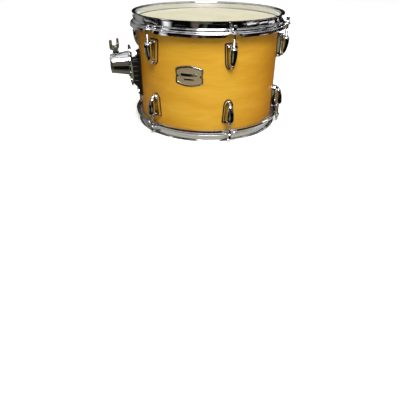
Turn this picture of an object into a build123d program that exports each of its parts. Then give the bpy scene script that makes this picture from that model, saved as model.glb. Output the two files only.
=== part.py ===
from build123d import *
from math import cos, radians, sin, sqrt
import os

# A twelve by eight inch rack tom-tom drum with its suspension mount, in millimetres.
# The drum's axis is Z, the resonant hoop stands on z = 0 and the badge faces -Y.
# Angles round the drum run from -Y towards +X. Heights named *_h are measured from
# a bearing edge, outwards from the shell, and serve both ends of the drum alike.

# Shell
shell_outer_r = 152.0
shell_wall = 6.0
shell_length = 203.2
edge_crest_inset = 1.4
edge_round_depth = 3.0

# Drumheads
film_thickness = 0.3
film_bend = 0.3
head_clearance = 1.3
head_tuck = 4.8
flesh_hoop_width = 4.5
flesh_hoop_height = 9.0
flesh_hoop_drop = 0.5

# Counter hoops, pressed from sheet
hoop_sheet = 1.6
rim_height = 14.2
lip_width = 5.3
hoop_wall_setback = 0.7
hoop_clearance = 0.4
skirt_depth = 14.3
flange_width = 6.8
flange_bend_drop = 3.4
flange_knee_drop = 6.2
flange_knee_inset = 1.4
ear_drop = 3.8
ear_margin = 0.8
ear_half_flat = 8.0
ear_half_width = 17.0

# Tension rods and washers
lug_count = 6
rod_standoff = 8.6
rod_r = 2.75
rod_length = 52.0
rod_head_width = 6.35
rod_head_height = 10.8
rod_head_chamfer = 0.8
washer_r = 5.2
washer_thickness = 2.4
rod_hole_clearance = 0.45
thread_clearance = 0.05

# Lug castings
lug_drop = 24.9
lug_height = 46.5
lug_half_width = 11.5
lug_foot_half_width = 10.2
lug_wall = 3.2
lug_depth = 8.0
lug_corner = 2.4
lug_bar_height = 6.0
lug_sill_height = 4.5
bullet_drop = 4.5
bullet_r = 7.6
bullet_mouth_r = 4.2
bullet_dome_height = 5.0
bullet_waist_r = 6.6
bullet_waist_share = 0.7
bullet_foot_r = 3.8
bullet_length = 35.0
neck_width = 11.0
neck_height = 12.0
rod_gap = 1.6
rod_end_space = 3.0
foot_width = 7.6
foot_thickness = 5.0
foot_step = 1.0
sill_narrowing = 0.6

# Badge
badge_width = 55.0
badge_side_height = 27.0
badge_height = 38.5
badge_thickness = 1.2
badge_rise = 16.3
badge_border = 2.2
badge_recess = 0.5

# Suspension mount
mount_angle = -62.0
mount_rise = 15.2
pad_thickness = 3.0
pad_half_width = 16.5
pad_top_reach = 27.0
pad_bottom_reach = 71.0
base_half_width = 15.0
base_inset = 1.5
base_standoff = 18.0
plate_half_width = 25.0
plate_thickness = 4.0
plate_top_reach = 34.0
plate_bottom_reach = 44.0
plate_corner_r = 9.0
plate_screw_r = 3.4
plate_screw_height = 2.4
plate_screw_side_inset = 5.5
plate_screw_end_inset = 12.5
base_shelf_inset = 2.0
corner_share = 0.6
barrel_root_r = 24.5
barrel_end_r = 18.5
barrel_length = 40.5
barrel_rim_r = 25.2
barrel_rim_width = 2.4
boss_r = 7.4
boss_height = 1.4
socket_flat = 16.5
socket_depth = 37.0
bush_wall = 1.8
bush_lip = 1.0
bush_lip_width = 2.0
bush_fit = 0.02

# Wing bolt and the shoe that it presses on the mounting rod
wing_inset = 13.4
bolt_r = 4.0
wing_hub_r = 5.2
wing_hub_height = 11.0
wing_reach = 14.8
wing_height = 27.4
wing_thickness = 3.6
wing_tip_width = 6.4
wing_foot_rise = 0.8
wing_shoulder_rise = 5.5
wing_notch_rise = 11.0
wing_angle = 48.0
wing_bend = 12.0
collar_r = 6.4
collar_height = 3.2
collar_gap = 0.4
shoe_length = 14.0
shoe_width = 8.0
shoe_thickness = 4.0
shoe_clearance = 0.3
thread_pitch = 1.25
loosening_turns = 2

# Mount bolts and the air vent
mount_bolt_r = 3.0
mount_bolt_head_height = 2.6
mount_nut_width = 10.0
mount_nut_height = 4.0
mount_washer_r = 9.0
mount_washer_thickness = 1.6
mount_washer_gap = 0.4
vent_r = 5.0

# How far a cutting body reaches past what it cuts
overcut = 5.0

# Places that follow from the sizes above
shell_inner_r = shell_outer_r - shell_wall
edge_crest_r = shell_outer_r - edge_crest_inset
resonant_edge_z = rim_height
batter_edge_z = rim_height + shell_length
drum_height = shell_length + 2 * rim_height
shell_middle_z = rim_height + shell_length / 2
flesh_inner_r = shell_outer_r + head_clearance
flesh_outer_r = flesh_inner_r + flesh_hoop_width
skirt_inner_r = flesh_outer_r + hoop_clearance
skirt_outer_r = skirt_inner_r + hoop_sheet
hoop_wall_r = flesh_inner_r + hoop_wall_setback
ledge_h = hoop_sheet - flesh_hoop_drop
flange_low_h = ledge_h - skirt_depth
flange_r = skirt_outer_r + flange_width
rod_circle_r = skirt_outer_r + rod_standoff
ear_tip_r = washer_r + ear_margin
rod_hole_r = rod_r + rod_hole_clearance
lug_front_r = shell_outer_r + lug_depth
lug_angles = [360 / lug_count * (i + 0.5) - 180 for i in range(lug_count)]
flange_knee_r = flange_r - flange_knee_inset
mount_z = shell_middle_z + mount_rise
badge_z = shell_middle_z + badge_rise
pad_r = shell_outer_r + pad_thickness
plate_back_r = shell_outer_r + base_standoff
foot_front_r = pad_r + mount_bolt_head_height + 1.0
barrel_root_x = plate_back_r + plate_thickness
barrel_end_x = barrel_root_x + barrel_length
wing_x = barrel_end_x - wing_inset
socket_end_x = barrel_end_x - socket_depth
upper_bolt_z = mount_z + pad_top_reach - mount_washer_r
lower_bolt_z = mount_z - pad_bottom_reach + mount_washer_r
shoe_lift = thread_pitch * loosening_turns


def ring(*outline):
    """A body of revolution about the drum's axis from (radius, height) points."""
    return revolve(Plane.XZ * make_face(Polyline(*outline, close=True)), Axis.Z)


def side_view(face, start_x, end_x):
    """A drawing of (tangent, height) pushed out along +X, the radial direction."""
    return extrude(Plane.YZ.offset(start_x) * face, end_x - start_x)


def profile_view(face, half_width):
    """A drawing of (radius, height) pushed out to both sides of the radial plane."""
    return extrude(Plane.XZ * face, half_width, both=True)


def at_angle(piece, angle):
    """Turn a piece built along +X to its angle round the drum."""
    return Rot(0, 0, angle - 90) * piece


def at_end(piece, end):
    """Carry a piece built on a bearing edge at height 0 to the batter or resonant end."""
    if end == "batter":
        return Pos(0, 0, batter_edge_z) * piece
    return Pos(0, 0, resonant_edge_z) * Rot(180, 0, 0) * piece


def end_angle(angle, end):
    """The angle to build at, so that a piece ends up at this angle on either end."""
    return angle if end == "batter" else 180 - angle


def round_bar(radius, low, high):
    """An upright cylinder between two heights."""
    return Pos(0, 0, low) * Cylinder(radius, high - low, align=(Align.CENTER, Align.CENTER, Align.MIN))


def radial_bar(radius, start_x, end_x):
    """A cylinder along +X between two distances from the drum's axis."""
    return Pos(start_x, 0, 0) * Rot(0, 90, 0) * round_bar(radius, 0, end_x - start_x)


def shell():
    """The ply cylinder with its bearing edges, air vent and mount bolt holes."""
    bevel = edge_crest_r - shell_inner_r
    body = ring(
        (shell_inner_r, resonant_edge_z + bevel),
        (edge_crest_r, resonant_edge_z),
        (shell_outer_r, resonant_edge_z + edge_round_depth),
        (shell_outer_r, batter_edge_z - edge_round_depth),
        (edge_crest_r, batter_edge_z),
        (shell_inner_r, batter_edge_z - bevel),
    )
    drill = (shell_inner_r - overcut, shell_outer_r + overcut)
    body -= at_angle(Pos(0, 0, shell_middle_z) * radial_bar(vent_r, *drill), 180)
    for z in (upper_bolt_z, lower_bolt_z):
        body -= at_angle(Pos(0, 0, z) * radial_bar(mount_bolt_r, *drill), mount_angle)
    return body


def head_film():
    """The film: flat over the bearing edge, with a collar that tucks into the flesh hoop."""
    bend_r = edge_crest_r + film_bend
    return ring(
        (0, 0),
        (bend_r, 0),
        (flesh_inner_r, -head_tuck),
        (flesh_inner_r, film_thickness * 2 - head_tuck),
        (bend_r + film_thickness, film_thickness),
        (0, film_thickness),
    )


def flesh_hoop():
    """The metal ring that grips the film's edge."""
    low = -flesh_hoop_drop - flesh_hoop_height
    return ring(
        (flesh_inner_r, low),
        (flesh_outer_r, low),
        (flesh_outer_r, -flesh_hoop_drop),
        (flesh_inner_r, -flesh_hoop_drop),
    )


def hoop_band():
    """The hoop's constant section: lip, wall, ledge, skirt and the flange that rolls down."""
    wall_outer_r = hoop_wall_r + hoop_sheet
    return ring(
        (hoop_wall_r, rim_height),
        (wall_outer_r + lip_width, rim_height),
        (wall_outer_r + lip_width, rim_height - hoop_sheet),
        (wall_outer_r, rim_height - hoop_sheet),
        (wall_outer_r, ledge_h),
        (skirt_outer_r, ledge_h),
        (skirt_outer_r, -flange_bend_drop),
        (flange_knee_r, -flange_knee_drop),
        (flange_r, flange_low_h),
        (flange_r - hoop_sheet, flange_low_h),
        (flange_knee_r - hoop_sheet, -flange_knee_drop - hoop_sheet),
        (skirt_inner_r, -flange_bend_drop - hoop_sheet),
        (skirt_inner_r, ledge_h - hoop_sheet),
        (hoop_wall_r, ledge_h - hoop_sheet),
    )


def ear_arch():
    """Where the flange sweeps up to an ear: the area under its top face."""
    far = 2 * ear_half_width
    root = flange_low_h + hoop_sheet
    low = flange_low_h - 3 * overcut
    return make_face(Polyline(
        (-far, low),
        (-far, root),
        (-ear_half_width, root),
        (-ear_half_flat, -ear_drop),
        (ear_half_flat, -ear_drop),
        (ear_half_width, root),
        (far, root),
        (far, low),
        close=True,
    ))


def ear_plan():
    """The ear from above: a tip round the rod, spreading back to the flange."""
    root_x = sqrt(flange_r**2 - ear_half_width**2)
    tip = Pos(rod_circle_r, 0) * Circle(ear_tip_r)
    root = Pos(root_x - overcut, 0) * Rectangle(2 * overcut, 2 * ear_half_width)
    return make_hull(tip.edges() + root.edges())


def ear_washer():
    """The washer under a rod's head, made in one with the ear."""
    return Pos(rod_circle_r, 0, 0) * round_bar(washer_r, -ear_drop, washer_thickness - ear_drop)


def hoop():
    """A triple-flanged counter hoop with one raised ear for each rod."""
    arch = ear_arch()
    under = offset(arch, amount=-hoop_sheet, kind=Kind.INTERSECTION)
    reach = rod_circle_r + ear_tip_r + overcut
    below = flange_low_h - overcut
    notch = side_view(under, skirt_inner_r, reach)
    space = side_view(under, shell_outer_r - overcut, reach + overcut)
    arch_sheet = side_view(arch, shell_outer_r, reach) - space
    limits = Pos(rod_circle_r, 0, (flange_low_h - ear_drop) / 2) * Box(
        2 * rod_standoff + 2 * ear_tip_r, 2 * ear_half_width, -ear_drop - flange_low_h)
    plan = extrude(Pos(0, 0, below) * ear_plan(), -below)
    ear = (arch_sheet & limits & plan) - round_bar(skirt_inner_r + hoop_sheet / 2, below, overcut)
    hole = Pos(rod_circle_r, 0, 0) * round_bar(rod_hole_r, below, overcut)
    body = hoop_band()
    for angle in lug_angles:
        body -= at_angle(notch, angle)
    for angle in lug_angles:
        body += at_angle(ear + ear_washer() - hole, angle)
    return body


def lug_frame():
    """The casting's open frame: a bar across the hoop's end and a round far end."""
    top = -lug_drop
    low = top - lug_height
    bend = low + lug_foot_half_width
    outline = make_face(
        Polyline(
            (-lug_foot_half_width, bend),
            (-lug_half_width, top - lug_corner),
            (lug_corner - lug_half_width, top),
            (lug_half_width - lug_corner, top),
            (lug_half_width, top - lug_corner),
            (lug_foot_half_width, bend),
        )
        + ThreePointArc((lug_foot_half_width, bend), (0, low), (-lug_foot_half_width, bend))
    )
    window_top = lug_half_width - lug_wall
    window_low = lug_foot_half_width - lug_wall
    window = make_face(Polyline(
        (-window_top, top - lug_bar_height),
        (window_top, top - lug_bar_height),
        (window_low, bend),
        (window_low * sill_narrowing, low + lug_sill_height),
        (-window_low * sill_narrowing, low + lug_sill_height),
        (-window_low, bend),
        close=True,
    ))
    return outline - window


def lug():
    """A lug casting: frame, neck, foot and the bored bullet that takes the rod."""
    top = -lug_drop
    low = top - lug_height
    mouth = top - bullet_drop
    tip = mouth - bullet_length
    frame = side_view(lug_frame(), shell_outer_r, lug_front_r)
    neck_end = rod_circle_r - rod_r - rod_gap
    neck = Pos((shell_outer_r + neck_end) / 2, 0, top - neck_height / 2) * Box(
        neck_end - shell_outer_r, neck_width, neck_height)
    foot = profile_view(make_face(Polyline(
        (shell_outer_r, low),
        (lug_front_r, low),
        (rod_circle_r + foot_step, tip - foot_step),
        (rod_circle_r + foot_step, tip + foot_thickness - foot_step),
        (shell_outer_r, low + foot_thickness),
        close=True,
    )), foot_width / 2)
    bullet = Pos(rod_circle_r, 0, 0) * ring(
        (0, mouth),
        (bullet_mouth_r, mouth),
        (bullet_r, mouth - bullet_dome_height),
        (bullet_waist_r, mouth - bullet_length * bullet_waist_share),
        (bullet_foot_r, tip),
        (0, tip),
    )
    bore = Pos(rod_circle_r, 0, 0) * round_bar(
        rod_r + thread_clearance, -rod_length - ear_drop - rod_end_space, top + overcut)
    return frame + neck + foot + bullet - bore


def tension_rod():
    """A rod in its place on a bearing edge: square key head above, round shank below."""
    head_low = washer_thickness - ear_drop
    shank = round_bar(rod_r, -ear_drop - rod_length, head_low)
    head = Pos(0, 0, head_low + rod_head_height / 2) * Box(rod_head_width, rod_head_width, rod_head_height)
    head = chamfer(head.edges().group_by(Axis.Z)[-1], rod_head_chamfer)
    return Pos(rod_circle_r, 0, 0) * (shank + head)


def badge():
    """A plain curved plate with a raised border."""
    side, half = badge_side_height / 2, badge_width / 2

    def outline(inset):
        right, high, peak = half - inset, side - inset, badge_height / 2 - inset
        return make_face(
            ThreePointArc((-right, high), (0, peak), (right, high))
            + Line((right, high), (right, -high))
            + ThreePointArc((right, -high), (0, -peak), (-right, -high))
            + Line((-right, -high), (-right, high))
        )

    def skin(inner_r, outer_r):
        return round_bar(outer_r, 0, drum_height) - round_bar(inner_r, -overcut, drum_height + overcut)

    face_r = shell_outer_r + badge_thickness
    centre = Pos(0, 0, badge_z)
    plate = skin(shell_outer_r, face_r) & (centre * side_view(outline(0), shell_inner_r, face_r + overcut))
    field = skin(face_r - badge_recess, face_r + overcut) & (
        centre * side_view(outline(badge_border), shell_inner_r, face_r + 2 * overcut))
    return at_angle(plate - field, 0)


def mount_pad():
    """The rubber pad between the shell and the mount's base."""
    height = pad_top_reach + pad_bottom_reach
    middle = mount_z + (pad_top_reach - pad_bottom_reach) / 2
    outline = Pos(0, middle) * RectangleRounded(2 * pad_half_width, height, pad_half_width * corner_share)
    pad = side_view(outline, shell_inner_r, pad_r + overcut) & round_bar(pad_r, 0, drum_height)
    pad -= round_bar(shell_outer_r, 0, drum_height)
    for z in (upper_bolt_z, lower_bolt_z):
        pad -= Pos(0, 0, z) * radial_bar(mount_bolt_r, shell_inner_r, pad_r + overcut)
    return at_angle(pad, mount_angle)


def mount_base():
    """The casting on the pad: deep behind the plate, thinning to a foot below and a lip above."""
    high = mount_z + pad_top_reach - base_inset
    low = mount_z - pad_bottom_reach + base_inset
    shelf_low = mount_z - plate_bottom_reach + base_shelf_inset
    shelf_high = upper_bolt_z - mount_washer_r
    body = profile_view(make_face(Polyline(
        (shell_inner_r, low),
        (foot_front_r, low),
        (foot_front_r, lower_bolt_z + mount_washer_r),
        (plate_back_r, shelf_low),
        (plate_back_r, shelf_high),
        (foot_front_r, shelf_high),
        (foot_front_r, high),
        (shell_inner_r, high),
        close=True,
    )), base_half_width)
    middle = (high + low) / 2
    outline = Pos(0, middle) * RectangleRounded(
        2 * base_half_width, high - low, base_half_width * corner_share)
    body &= side_view(outline, shell_inner_r, plate_back_r + overcut)
    body -= round_bar(pad_r, 0, drum_height)
    for z in (upper_bolt_z, lower_bolt_z):
        body -= Pos(0, 0, z) * radial_bar(mount_bolt_r, shell_inner_r, plate_back_r + overcut)
    return at_angle(body, mount_angle)


def mount_plate():
    """The flat plate that carries the barrel, with a screw head in each corner."""
    height = plate_top_reach + plate_bottom_reach
    middle = mount_z + (plate_top_reach - plate_bottom_reach) / 2
    outline = Pos(0, middle) * RectangleRounded(2 * plate_half_width, height, plate_corner_r)
    body = side_view(outline, plate_back_r, barrel_root_x)
    across = plate_half_width - plate_screw_side_inset
    up = height / 2 - plate_screw_end_inset
    for y in (-across, across):
        for z in (middle - up, middle + up):
            screw = radial_bar(plate_screw_r, barrel_root_x, barrel_root_x + plate_screw_height)
            body += Pos(0, y, z) * screw
    return at_angle(body, mount_angle)


def barrel():
    """The tapered barrel with its rim, hexagon socket and the wing bolt's hole."""
    rim_x = barrel_root_x + barrel_rim_width
    cone = revolve(make_face(Polyline(
        (barrel_root_x, 0),
        (barrel_root_x, barrel_rim_r),
        (rim_x, barrel_rim_r),
        (rim_x, barrel_root_r),
        (barrel_end_x, barrel_end_r),
        (barrel_end_x, 0),
        close=True,
    )), Axis.X)
    socket = side_view(hexagon(socket_flat + 2 * bush_wall), socket_end_x, barrel_end_x + overcut)
    boss = Pos(wing_x, 0, 0) * round_bar(boss_r, barrel_top() - overcut / 2, barrel_top() + boss_height)
    hole = Pos(wing_x, 0, 0) * round_bar(bolt_r + thread_clearance, 0, barrel_root_r + overcut)
    body = cone + boss - socket - hole - shoe_pocket()
    return at_angle(Pos(0, 0, mount_z) * body, mount_angle)


def hexagon(flat):
    """A hexagon with flats above and below, given across its flats."""
    return Rot(0, 0, 30) * RegularPolygon(flat / 2, 6, major_radius=False)


def shoe_space(clearance):
    """The block of space round the clamp shoe, about the barrel's axis."""
    return Pos(wing_x, 0, socket_flat / 2) * Box(
        shoe_length + 2 * clearance, shoe_width + 2 * clearance, shoe_thickness + clearance,
        align=(Align.CENTER, Align.CENTER, Align.MIN))


def shoe_pocket():
    """The pocket in which the shoe rises when the wing bolt is loosened."""
    return Pos(0, 0, shoe_lift) * shoe_space(shoe_clearance) + shoe_space(shoe_clearance)


def socket_bush():
    """The plastic hexagon liner that the mounting rod slides in."""
    outer = side_view(hexagon(socket_flat + 2 * bush_wall - bush_fit), socket_end_x, barrel_end_x)
    rim = hexagon(socket_flat + 2 * bush_wall + 2 * bush_lip_width)
    lip = side_view(rim, barrel_end_x, barrel_end_x + bush_lip)
    inner = side_view(hexagon(socket_flat), socket_end_x - overcut, barrel_end_x + bush_lip + overcut)
    window = shoe_space(shoe_clearance) + Pos(0, 0, -bush_wall) * shoe_space(shoe_clearance)
    return at_angle(Pos(0, 0, mount_z) * (outer + lip - inner - window), mount_angle)


def clamp_shoe():
    """The shoe that the wing bolt presses down on the mounting rod."""
    return at_angle(Pos(0, 0, mount_z) * shoe_space(0), mount_angle)


def barrel_top():
    """The height of the barrel's skin above its axis, at the wing bolt."""
    share = (wing_x - barrel_root_x - barrel_rim_width) / (barrel_length - barrel_rim_width)
    return barrel_root_r + (barrel_end_r - barrel_root_r) * share


def wing_bolt():
    """The bolt's shaft, hub and two upswept wings."""
    seat = barrel_top() + boss_height + collar_gap
    shaft = round_bar(bolt_r, socket_flat / 2 + shoe_thickness, seat)
    hub = round_bar(wing_hub_r, seat + collar_height, seat + collar_height + wing_hub_height)
    neck = round_bar(bolt_r, seat, seat + collar_height)
    foot = seat + collar_height + wing_foot_rise
    shoulder = foot + wing_shoulder_rise
    tip = seat + wing_height
    inside = wing_reach - wing_tip_width
    round_start = tip - wing_tip_width / 2
    middle = wing_reach - wing_tip_width / 2
    notch = foot + wing_notch_rise
    half = make_face(
        Polyline((0, foot), (wing_hub_r, foot), (wing_reach, shoulder), (wing_reach, round_start))
        + ThreePointArc((wing_reach, round_start), (middle, tip), (inside, round_start))
        + Polyline((inside, round_start), (inside, notch), (0, notch), (0, foot))
    )
    wing = profile_view(half, wing_thickness / 2)
    wings = Rot(0, 0, -wing_bend) * wing + Rot(0, 0, 180 + wing_bend) * wing
    body = Rot(0, 0, wing_angle) * wings + hub + shaft + neck
    return at_angle(Pos(wing_x, 0, mount_z) * body, mount_angle)


def wing_collar():
    """The dark ring under the wing bolt's hub."""
    seat = barrel_top() + boss_height + collar_gap
    body = round_bar(collar_r, seat, seat + collar_height) - round_bar(
        bolt_r, seat - overcut, seat + collar_height + overcut)
    return at_angle(Pos(wing_x, 0, mount_z) * body, mount_angle)


def mount_bolts():
    """The two bolts through base, pad and shell, each with a large square plate inside."""
    bolts = []
    for z in (upper_bolt_z, lower_bolt_z):
        inside = shell_inner_r - mount_washer_gap - mount_washer_thickness
        head = side_view(hexagon(mount_nut_width), foot_front_r, foot_front_r + mount_bolt_head_height)
        square = Rectangle(2 * mount_washer_r, 2 * mount_washer_r)
        washer = side_view(square, inside, shell_inner_r - mount_washer_gap)
        nut = side_view(hexagon(mount_nut_width), inside - mount_nut_height, inside)
        shank = radial_bar(mount_bolt_r - thread_clearance, inside, foot_front_r)
        bolts.append(at_angle(Pos(0, 0, z) * (head + washer + nut + shank), mount_angle))
    return Compound(bolts)


def solids(pieces):
    """Several like pieces as one group of separate solids."""
    return Compound([solid for piece in pieces for solid in piece.solids()])


nodes = {
    "shell": shell(),
    "badge": badge(),
    "mount_pad": mount_pad(),
    "mount_base": mount_base(),
    "mount_plate": mount_plate(),
    "mount_bolts": mount_bolts(),
    "mount_barrel": barrel(),
    "socket_bush": socket_bush(),
    "clamp_shoe": clamp_shoe(),
    "wing_bolt": wing_bolt(),
    "wing_collar": wing_collar(),
}
for end in ("batter", "resonant"):
    nodes[f"{end}_film"] = at_end(head_film(), end)
    nodes[f"{end}_flesh_hoop"] = at_end(flesh_hoop(), end)
    nodes[f"{end}_hoop"] = at_end(hoop(), end)
    nodes[f"{end}_lugs"] = solids(at_end(at_angle(lug(), angle), end) for angle in lug_angles)
    for number, angle in enumerate(lug_angles, start=1):
        turned = at_angle(tension_rod(), end_angle(angle, end))
        nodes[f"{end}_rod_{number}"] = at_end(turned, end)

os.makedirs("parts", exist_ok=True)
for name, piece in nodes.items():
    export_step(piece, f"parts/{name}.step")
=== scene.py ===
import bpy
import bmesh
from math import asin, atan2, cos, e, hypot, pi, radians, sin, sqrt, tan
from mathutils import Matrix, Vector


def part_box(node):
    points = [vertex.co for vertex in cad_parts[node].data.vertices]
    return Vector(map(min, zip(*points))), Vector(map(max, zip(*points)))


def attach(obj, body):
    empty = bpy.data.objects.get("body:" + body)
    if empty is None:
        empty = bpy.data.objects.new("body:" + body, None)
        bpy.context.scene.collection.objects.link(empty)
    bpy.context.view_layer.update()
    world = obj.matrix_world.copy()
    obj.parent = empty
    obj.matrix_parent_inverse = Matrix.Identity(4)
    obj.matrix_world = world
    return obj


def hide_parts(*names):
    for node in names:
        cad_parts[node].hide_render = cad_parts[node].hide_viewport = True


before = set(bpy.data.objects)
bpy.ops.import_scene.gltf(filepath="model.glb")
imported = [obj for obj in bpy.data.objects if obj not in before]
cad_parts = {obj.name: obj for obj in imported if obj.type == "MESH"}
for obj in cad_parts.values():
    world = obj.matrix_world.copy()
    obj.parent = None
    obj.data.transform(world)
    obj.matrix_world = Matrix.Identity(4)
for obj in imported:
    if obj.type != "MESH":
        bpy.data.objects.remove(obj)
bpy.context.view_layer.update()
mm = 0.001

# The shell: birch ply bent into a cylinder, cut to a bearing edge at both ends and lacquered
# in a clear amber. Opposite the badge it is drilled for the air vent.
shell_low, shell_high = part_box("shell")
shell_r = shell_high.x
shell_wall = 6 * mm
edge_crest_inset = 1.4 * mm
edge_round = 3 * mm
vent_r = 5 * mm
drum_middle_z = (shell_low.z + shell_high.z) / 2
nearly_straight = 3.1


def soften(points, radius, steps=4, closed=True):
    """An outline with every corner rounded to an arc, as far as its sides leave room."""
    rounded = []
    count = len(points)
    for i, corner in enumerate(points):
        if not closed and i in (0, count - 1):
            rounded.append(tuple(corner))
            continue
        corner = Vector(corner)
        before = Vector(points[i - 1]) - corner
        after = Vector(points[(i + 1) % count]) - corner
        turn = before.angle(after, pi)
        reach = min(radius / tan(turn / 2), 0.45 * before.length, 0.45 * after.length)
        if turn > nearly_straight or reach < 1e-9:
            rounded.append(tuple(corner))
            continue
        start, end = corner + before.normalized() * reach, corner + after.normalized() * reach
        for k in range(steps + 1):
            share = k / steps
            rounded.append(tuple(start.lerp(corner, share).lerp(corner.lerp(end, share), share)))
    return rounded


def placed(name, data):
    """An object of the scene."""
    thing = bpy.data.objects.new(name, data)
    bpy.context.scene.collection.objects.link(thing)
    return thing


def meshed(name, shape):
    """A worked shape as a mesh; the shape is used up."""
    mesh = bpy.data.meshes.new(name)
    shape.to_mesh(mesh)
    shape.free()
    return mesh


def smoothed(mesh, sharp_angle):
    """Shades a mesh smooth but for the edges sharper than the given angle."""
    mesh.polygons.foreach_set("use_smooth", [True] * len(mesh.polygons))
    mesh.set_sharp_from_angle(angle=radians(sharp_angle))
    return mesh


def polar(radius, turn, height):
    """A point at a distance from the axis and a turn round it."""
    return radius * cos(turn), radius * sin(turn), height


def turned(name, outline, steps, place=Matrix.Identity(4), closed=True):
    """A turned piece from (radius, height) points; a radius may be a function of the angle."""
    shape = bmesh.new()
    rows = []
    for radius, height in outline:
        if not callable(radius) and radius < 1e-7:
            rows.append([shape.verts.new((0, 0, height))] * steps)
            continue
        row = []
        for turn in (2 * pi * k / steps for k in range(steps)):
            row.append(shape.verts.new(polar(radius(turn) if callable(radius) else radius, turn, height)))
        rows.append(row)
    pairs = list(zip(rows, rows[1:])) + ([(rows[-1], rows[0])] if closed else [])
    for low, high in pairs:
        for k in range(steps):
            ring = [low[k], low[(k + 1) % steps], high[(k + 1) % steps], high[k]]
            corners = [v for i, v in enumerate(ring) if v not in ring[:i]]
            if len(corners) > 2:
                shape.faces.new(corners)
    bmesh.ops.recalc_face_normals(shape, faces=shape.faces)
    mesh = meshed(name, shape)
    mesh.transform(place)
    return placed(name, smoothed(mesh, 32))


def outcome(thing):
    """The mesh of an object as its modifiers or its curves make it."""
    return bpy.data.meshes.new_from_object(thing.evaluated_get(bpy.context.evaluated_depsgraph_get()))


def baked(piece):
    """The piece with its modifiers applied to its mesh."""
    mesh = outcome(piece)
    piece.modifiers.clear()
    piece.data = mesh
    return piece


def drill(radius, low, high, steps, place):
    """A cylinder to cut a hole with."""
    return turned("drill", [(0, low), (radius, low), (radius, high), (0, high)], steps, place, closed=False)


def drilled(piece, *drills):
    """The piece with holes cut where the drills pass; the drills are used up."""
    for tool in drills:
        cut = piece.modifiers.new("hole", "BOOLEAN")
        cut.object, cut.solver = tool, "EXACT"
    smoothed(baked(piece).data, 50)
    for tool in drills:
        bpy.data.objects.remove(tool)
    return piece


def at(x, y=0, z=0):
    """Carries a piece along the axes."""
    return Matrix.Translation((x, y, z))


def outward(angle, height=0):
    """Places a piece built along +X so that it points out of the drum at an angle from the badge."""
    return Matrix.Rotation(radians(angle - 90), 4, "Z") @ at(0, 0, height)


def along_x(start):
    """Lays a piece built up the Z axis along +X from a distance."""
    return at(start) @ Matrix.Rotation(pi / 2, 4, "Y")


bevel = shell_wall - edge_crest_inset
shell_outline = [
    (shell_r - shell_wall, shell_low.z + bevel), (shell_r - edge_crest_inset, shell_low.z),
    (shell_r, shell_low.z + edge_round), (shell_r, shell_high.z - edge_round),
    (shell_r - edge_crest_inset, shell_high.z), (shell_r - shell_wall, shell_high.z - bevel)]
shell = turned("shell_lacquered", soften(shell_outline, 2 * mm), 240)
drill_reach = 10 * mm
vent_stand = outward(180, drum_middle_z)
drilled(shell, drill(vent_r, 0, 2 * drill_reach, 48, vent_stand @ along_x(shell_r - drill_reach)))


def linear(hex_colour):
    """An sRGB hex colour as the linear colour that the shaders take."""
    channels = [int(hex_colour[i:i + 2], 16) / 255 for i in (1, 3, 5)]
    return tuple(c / 12.92 if c <= 0.04045 else ((c + 0.055) / 1.055) ** 2.4 for c in channels) + (1.0,)


def settle(tree, node, inputs):
    """Fills a node's inputs, each with a value, another node's socket or another node, which stands
    for its first live output."""
    for name, value in inputs.items():
        if isinstance(value, bpy.types.Node):
            value = next(socket for socket in value.outputs if socket.enabled)
        if isinstance(value, bpy.types.NodeSocket):
            tree.links.new(value, node.inputs[name])
        else:
            node.inputs[name].default_value = value
    return node


def add_node(tree, kind, inputs, stops=(), **settings):
    """One node with its settings and links; stops are a colour ramp's (position, hex colour) pairs."""
    node = tree.nodes.new(kind)
    for name, value in settings.items():
        setattr(node, name, value)
    if stops:
        elements = node.color_ramp.elements
        while len(elements) < len(stops):
            elements.new(0.5)
        for element, (position, colour) in zip(elements, stops):
            element.position, element.color = position, linear(colour)
    return settle(tree, node, inputs)


def finish(paint):
    """A material named for its paint, which makes the surface's inputs from the place in metres."""
    material = bpy.data.materials.new(paint.__name__)
    material.use_nodes = True
    tree = material.node_tree
    place = add_node(tree, "ShaderNodeTexCoord", {}).outputs["Object"]
    settle(tree, tree.nodes["Principled BSDF"], paint(tree, place))
    return material


def grain(tree, place, size, detail=3.0, roughness=0.55, distortion=0.0):
    """A drifting pattern whose cells measure a size in metres, or the given (x, y, z) sizes."""
    size = size if isinstance(size, tuple) else (size, size, size)
    scaled = add_node(tree, "ShaderNodeMapping", {"Vector": place, "Scale": tuple(1 / s for s in size)})
    return add_node(tree, "ShaderNodeTexNoise", {
        "Vector": scaled, "Scale": 1.0, "Detail": detail, "Roughness": roughness, "Distortion": distortion})


def dress(piece, material, slot, *nodes, body="drum"):
    """Gives a piece its finish, its body and the CAD nodes that it stands for; the slot is not used."""
    piece.data.materials.clear()
    piece.data.materials.append(material)
    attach(piece, body)
    if nodes:
        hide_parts(*nodes)


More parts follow.
